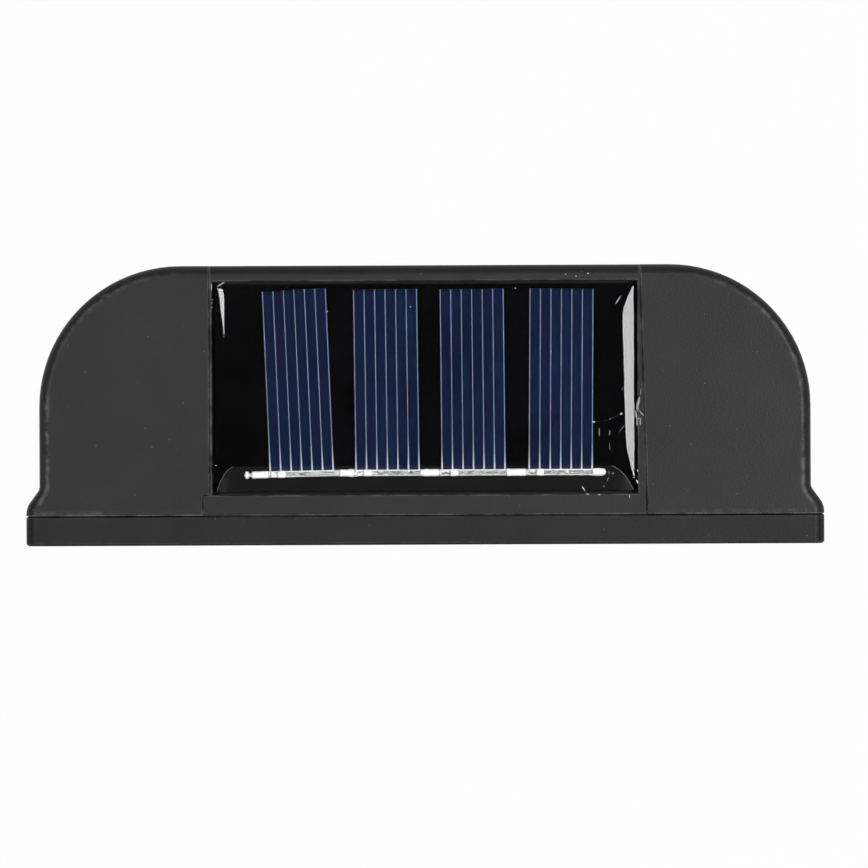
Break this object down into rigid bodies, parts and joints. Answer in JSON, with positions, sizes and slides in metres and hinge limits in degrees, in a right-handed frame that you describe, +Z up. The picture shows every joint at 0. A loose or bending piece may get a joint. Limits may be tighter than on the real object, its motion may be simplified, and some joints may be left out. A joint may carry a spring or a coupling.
{
  "type": "solar wall light",
  "caption": "Solar wall light: black D-plan hood with a flush solar panel in its roof, a fluted clear lens below the brow, and a wall plate with keyholes behind.",
  "frame": {"origin": "middle of the wall plate's rear face, on the wall", "axes": "+Z up, +Y into the wall, the lamp's front faces -Y, +X to the right seen from the front"},
  "size_m": [0.1142, 0.04, 0.057],
  "materials": {
    "housing": "fine spark texture",
    "seal": "soft foam",
    "screw_steel": "zinc plated",
    "lens": "clear, fluted inside",
    "reflector": "white satin",
    "panel_board": "black",
    "foam_tape": "foam",
    "solar_cell": "blue silicon with silver fingers",
    "tinned_ribbon": "tinned",
    "panel_resin": "clear domed resin",
    "circuit_board": "green solder mask",
    "led_package": "white",
    "led_phosphor": "yellow gel",
    "battery_wrap": "shrink wrap",
    "contact_nickel": "nickel plated",
    "chip_black": "moulded",
    "inductor_green": "lacquered",
    "switch_white": "moulded",
    "button_rubber": "soft",
    "lead_black": "insulation",
    "lead_red": "insulation"
  },
  "bodies": {
    "lamp": {"hood": "housing", "back_plate": "housing", "housing_seal": "seal", "plate_screws": "screw_steel", "lens": "lens", "reflector_tray": "reflector", "tray_screws": "screw_steel", "panel_board": "panel_board", "panel_tape": "foam_tape", "solar_cell_1": "solar_cell", "solar_cell_2": "solar_cell", "solar_cell_3": "solar_cell", "solar_cell_4": "solar_cell", "cell_ribbon": "tinned_ribbon", "panel_resin": "panel_resin", "led_board": "circuit_board", "led_1": "led_package", "led_2": "led_package", "led_3": "led_package", "led_4": "led_package", "led_phosphor": "led_phosphor", "battery": "battery_wrap", "contact_plate": "contact_nickel", "spring_plate": "contact_nickel", "contact_spring": "contact_nickel", "control_board": "circuit_board", "board_screws": "screw_steel", "driver_chip": "chip_black", "inductor": "inductor_green", "switch_body": "chip_black", "panel_lead_black": "lead_black", "panel_lead_red": "lead_red", "battery_lead_red": "lead_red", "battery_lead_black": "lead_black", "led_lead_black": "lead_black", "led_lead_red": "lead_red"},
    "push_button": {"button": "button_rubber", "switch_plunger": "switch_white"}
  },
  "joints": [
    {"name": "button_press", "type": "slide", "parent": "lamp", "child": "push_button", "axis": [0, 0, 1], "range_m": [0, 0.0009], "stiffness_N_per_m": 900}
  ]
}
